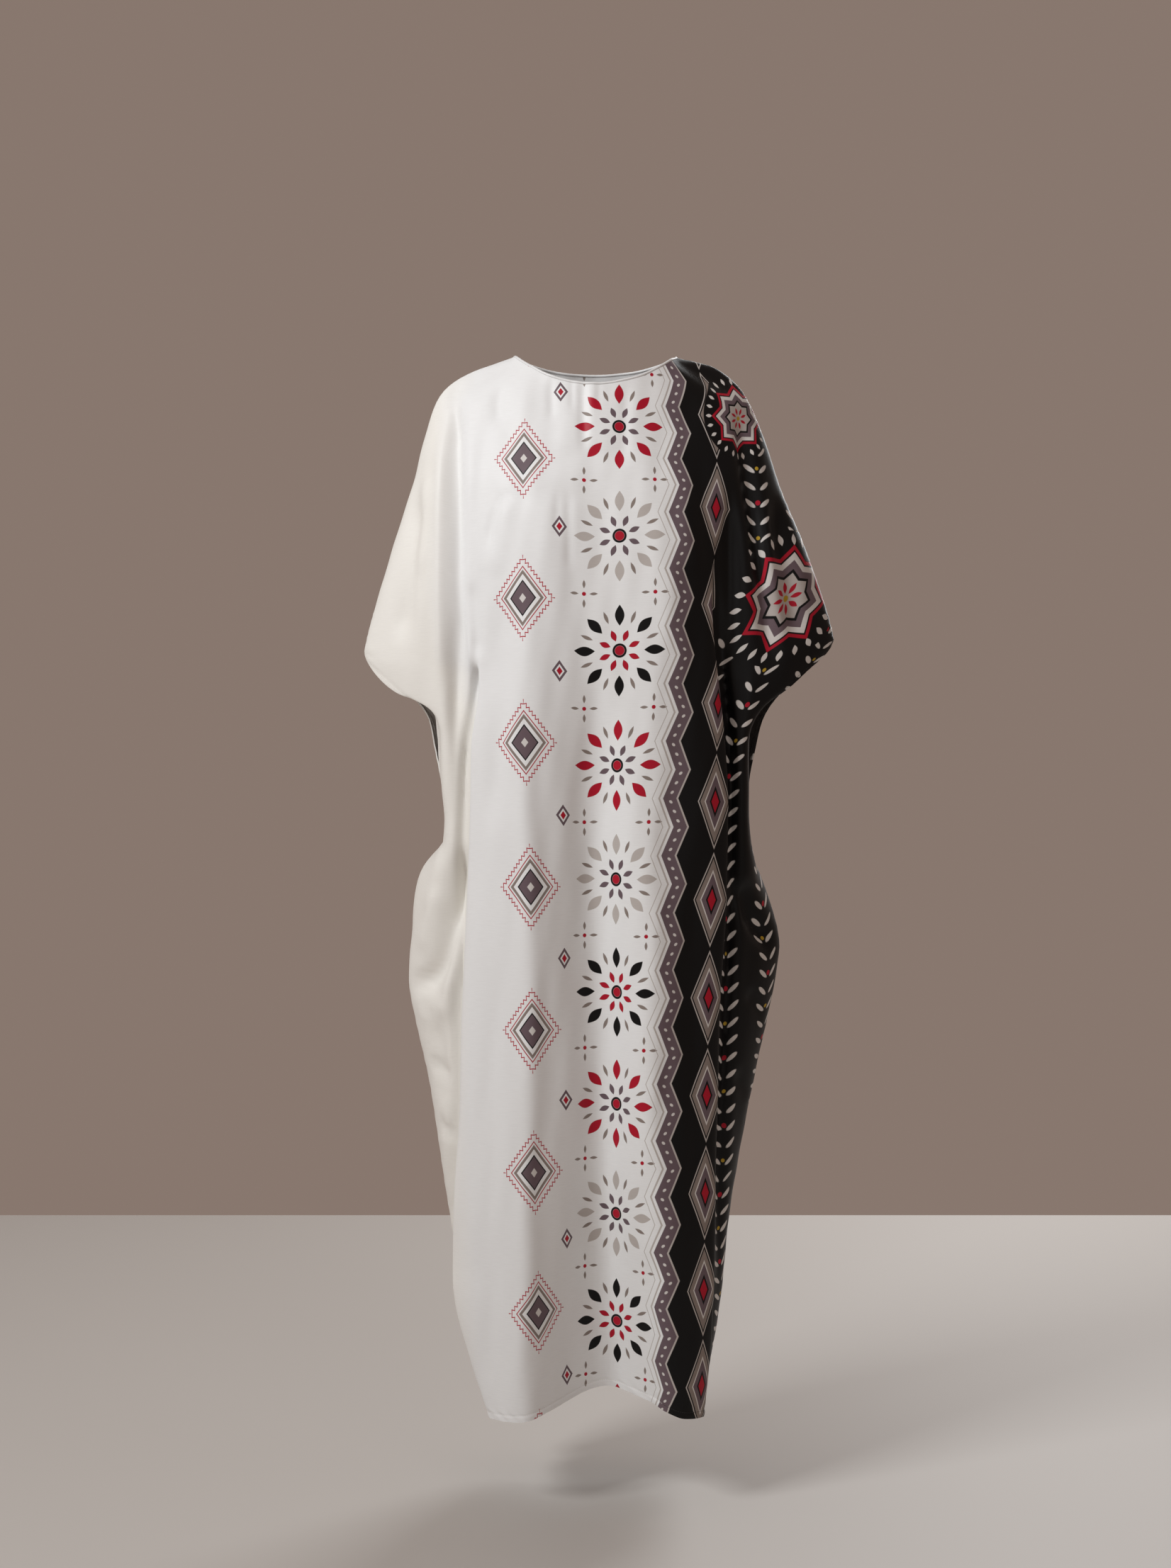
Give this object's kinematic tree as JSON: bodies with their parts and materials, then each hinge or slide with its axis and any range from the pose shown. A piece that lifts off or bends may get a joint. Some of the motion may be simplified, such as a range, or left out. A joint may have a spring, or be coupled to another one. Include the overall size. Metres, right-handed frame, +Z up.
{
  "type": "kaftan dress",
  "caption": "Full-length kaftan dress, worn and hollow: front and back panel with wide open elbow sleeves, a bound boat neck, tucked side folds and an open hem.",
  "frame": {"origin": "midway between the two neck points on the shoulder line, where the wearer's shoulders carry the dress", "axes": "+Z up along the dress from hem to neck, front of the dress towards -Y, +X towards the wearer's left sleeve"},
  "size_m": [0.628, 0.2578, 1.4037],
  "materials": {
    "printed_satin": "soft satin",
    "neck_satin": "soft satin"
  },
  "bodies": {
    "root": {"front_panel": "printed_satin", "back_panel": "printed_satin", "neck_binding": "neck_satin"}
  },
  "joints": []
}
